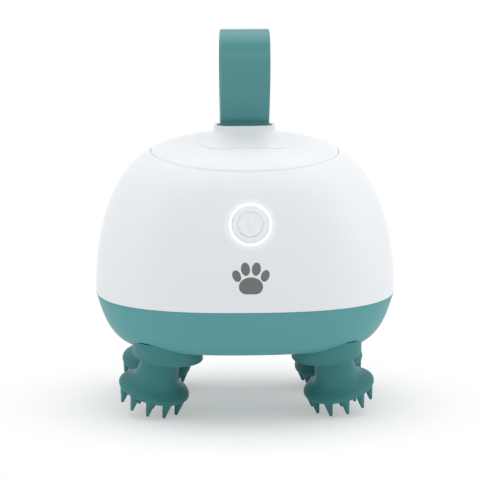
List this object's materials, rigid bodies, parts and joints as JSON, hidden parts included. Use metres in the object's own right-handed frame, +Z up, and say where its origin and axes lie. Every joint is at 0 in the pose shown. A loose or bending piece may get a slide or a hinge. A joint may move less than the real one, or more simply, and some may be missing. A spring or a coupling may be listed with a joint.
{
  "type": "electric pet massager",
  "caption": "Cordless hand-held pet massager: domed two-part housing with a strap loop, a lit front button and nibbed silicone heads turned by a gear train inside.",
  "frame": {"origin": "on the ground plane below the centre of the body, where the lowest nibs stand", "axes": "+Z up along the strap, -Y towards the front with the button, +X to the right as seen from the front"},
  "size_m": [0.1, 0.086, 0.1273],
  "materials": {
    "white_shell": "moulded ABS with a soft gloss",
    "white_cap": "moulded ABS, satin gloss",
    "ring_diffuser": "milky polycarbonate light ring",
    "teal_shell": "moulded ABS, satin",
    "teal_silicone": "moulded silicone, satin",
    "white_silicone": "moulded silicone, matt",
    "gasket_grey": "soft silicone cord",
    "grey_abs": "moulded ABS, matt",
    "acetal_white": "moulded acetal",
    "black_plastic": "glass-filled nylon, matt",
    "black_rubber": "nitrile rubber",
    "board_green": "glass-epoxy board with solder mask",
    "led_white": "resin-cast white LED",
    "steel": "plated or ground steel",
    "motor_steel": "drawn and plated steel",
    "bronze": "oil-filled sintered bronze",
    "brass": "hobbed brass",
    "cell_sleeve": "lithium cell in a shrink sleeve"
  },
  "bodies": {
    "base": {"upper_housing": "white_shell", "top_panel": "white_shell", "strap_loop": "teal_silicone", "strap_clamp": "grey_abs", "clamp_screws": "steel", "light_ring": "ring_diffuser", "circuit_board": "board_green", "tact_switch": "black_plastic", "ring_leds": "led_white", "board_screws": "steel", "housing_gasket": "gasket_grey", "lower_housing": "teal_shell", "gear_plate": "grey_abs", "plate_screws": "steel", "housing_screws": "steel", "shaft_bushes": "bronze", "shaft_seals": "black_rubber", "thrust_washers": "black_plastic", "transfer_axles": "steel", "motor_gearhead": "motor_steel", "motor_can": "motor_steel", "motor_screws": "steel", "battery_cell": "cell_sleeve", "battery_cradle": "black_plastic", "charge_board": "board_green", "charge_socket": "steel"},
    "head_fl": {"drive_shaft_fl": "steel", "head_gear_fl": "acetal_white", "head_hub_fl": "grey_abs", "massage_head_fl": "teal_silicone"},
    "head_fr": {"drive_shaft_fr": "steel", "head_gear_fr": "acetal_white", "head_hub_fr": "grey_abs", "massage_head_fr": "teal_silicone"},
    "head_rl": {"drive_shaft_rl": "steel", "head_gear_rl": "acetal_white", "head_hub_rl": "grey_abs", "massage_head_rl": "teal_silicone"},
    "head_rr": {"drive_shaft_rr": "steel", "head_gear_rr": "acetal_white", "head_hub_rr": "grey_abs", "massage_head_rr": "teal_silicone"},
    "left_transfer": {"left_transfer_gear": "acetal_white"},
    "right_transfer": {"right_transfer_gear": "acetal_white"},
    "pinion": {"output_shaft": "steel", "motor_pinion": "brass"},
    "button": {"power_button": "white_cap"},
    "cover": {"port_cover": "white_silicone"}
  },
  "joints": [
    {"name": "head_fl_spin", "type": "hinge", "parent": "base", "child": "head_fl", "pos_m": [-0.0264, -0.0193, 0.03], "axis": [0, 0, 1], "continuous": true},
    {"name": "head_fr_spin", "type": "hinge", "parent": "base", "child": "head_fr", "pos_m": [0.0264, -0.0193, 0.03], "axis": [0, 0, 1], "continuous": true},
    {"name": "head_rl_spin", "type": "hinge", "parent": "base", "child": "head_rl", "pos_m": [-0.0264, 0.0193, 0.03], "axis": [0, 0, 1], "continuous": true},
    {"name": "head_rr_spin", "type": "hinge", "parent": "base", "child": "head_rr", "pos_m": [0.0264, 0.0193, 0.03], "axis": [0, 0, 1], "continuous": true},
    {"name": "left_transfer_spin", "type": "hinge", "parent": "base", "child": "left_transfer", "pos_m": [-0.013, 0, 0.038], "axis": [0, 0, 1], "continuous": true},
    {"name": "right_transfer_spin", "type": "hinge", "parent": "base", "child": "right_transfer", "pos_m": [0.013, 0, 0.038], "axis": [0, 0, 1], "continuous": true},
    {"name": "pinion_spin", "type": "hinge", "parent": "base", "child": "pinion", "pos_m": [-0.003, 0.01732, 0.038], "axis": [0, 0, 1], "continuous": true},
    {"name": "power_press", "type": "slide", "parent": "base", "child": "button", "axis": [0, 0.9537, -0.3008], "range_m": [0, 0.0005], "stiffness_N_per_m": 2000, "springref_m": -0.0005},
    {"name": "cover_hinge", "type": "hinge", "parent": "base", "child": "cover", "pos_m": [0, 0.04227, 0.0453], "axis": [-1, 0, 0], "range_deg": [0, 100]}
  ],
  "couplings": [
    {"joint": "head_fr_spin", "follows": "head_fl_spin", "ratio": -1},
    {"joint": "head_rl_spin", "follows": "head_fl_spin", "ratio": 1},
    {"joint": "head_rr_spin", "follows": "head_fl_spin", "ratio": -1},
    {"joint": "left_transfer_spin", "follows": "head_fl_spin", "ratio": -0.80769},
    {"joint": "right_transfer_spin", "follows": "head_fl_spin", "ratio": 0.80769},
    {"joint": "pinion_spin", "follows": "head_fl_spin", "ratio": 1.5}
  ]
}
